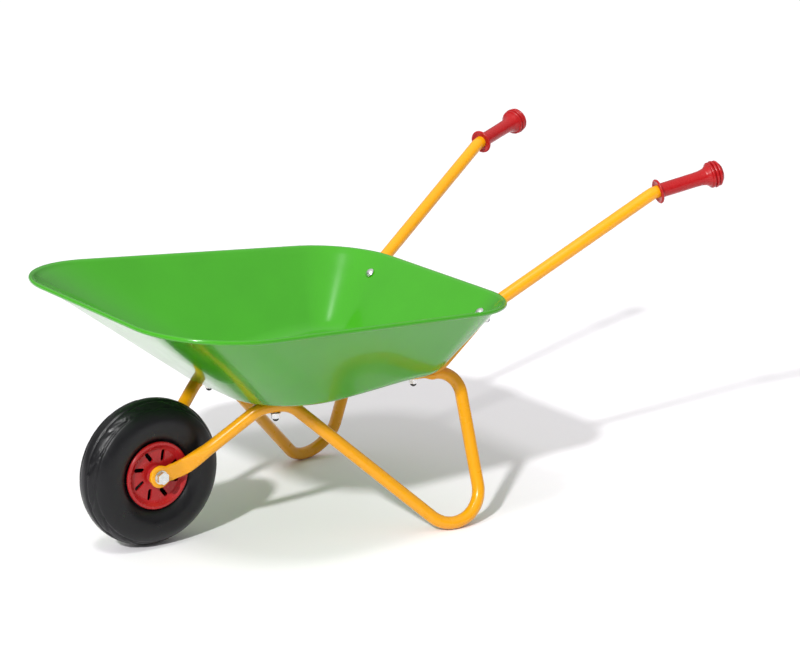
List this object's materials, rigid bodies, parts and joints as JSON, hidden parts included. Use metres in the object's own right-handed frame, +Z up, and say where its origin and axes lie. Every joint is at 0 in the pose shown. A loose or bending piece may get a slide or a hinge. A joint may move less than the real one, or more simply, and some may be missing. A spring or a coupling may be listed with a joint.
{
  "type": "child's wheelbarrow",
  "caption": "Small metal wheelbarrow with a pressed tray, bent tube legs and handles with plastic grips, and one spoked-slot plastic wheel on a bolt.",
  "frame": {"origin": "on the floor under the middle of the bounding box", "axes": "+X forward, towards the wheel; +Y to the user's left; +Z up"},
  "size_m": [0.7647, 0.425, 0.4011],
  "materials": {
    "tray_paint": "gloss enamel",
    "tube_paint": "satin powder coat",
    "grip_plastic": "glossy moulded plastic",
    "hub_plastic": "glossy moulded plastic",
    "tyre": "moulded black, soft sheen",
    "zinc_steel": "zinc plated",
    "cap_plastic": "dark plastic"
  },
  "bodies": {
    "frame": {"axle_bolt": "zinc_steel", "axle_nut": "zinc_steel", "axle_sleeve": "zinc_steel", "axle_spacers": "zinc_steel", "axle_washers": "zinc_steel", "bolt_washers": "zinc_steel", "front_floor_bolts": "zinc_steel", "front_floor_nut_caps": "cap_plastic", "front_floor_nuts": "zinc_steel", "left_grip": "grip_plastic", "left_handle_tube": "tube_paint", "left_lower_tube": "tube_paint", "rear_floor_bolts": "zinc_steel", "rear_floor_nut_caps": "cap_plastic", "rear_floor_nuts": "zinc_steel", "rear_wall_bolts": "zinc_steel", "rear_wall_nut_caps": "cap_plastic", "rear_wall_nuts": "zinc_steel", "right_grip": "grip_plastic", "right_handle_tube": "tube_paint", "right_lower_tube": "tube_paint", "tray": "tray_paint"},
    "wheel": {"tyre": "tyre", "left_hub_half": "hub_plastic", "right_hub_half": "hub_plastic"}
  },
  "joints": [
    {"name": "wheel_spin", "type": "hinge", "parent": "frame", "child": "wheel", "pos_m": [0.29605, 0, 0.0865], "axis": [0, 1, 0], "continuous": true}
  ]
}
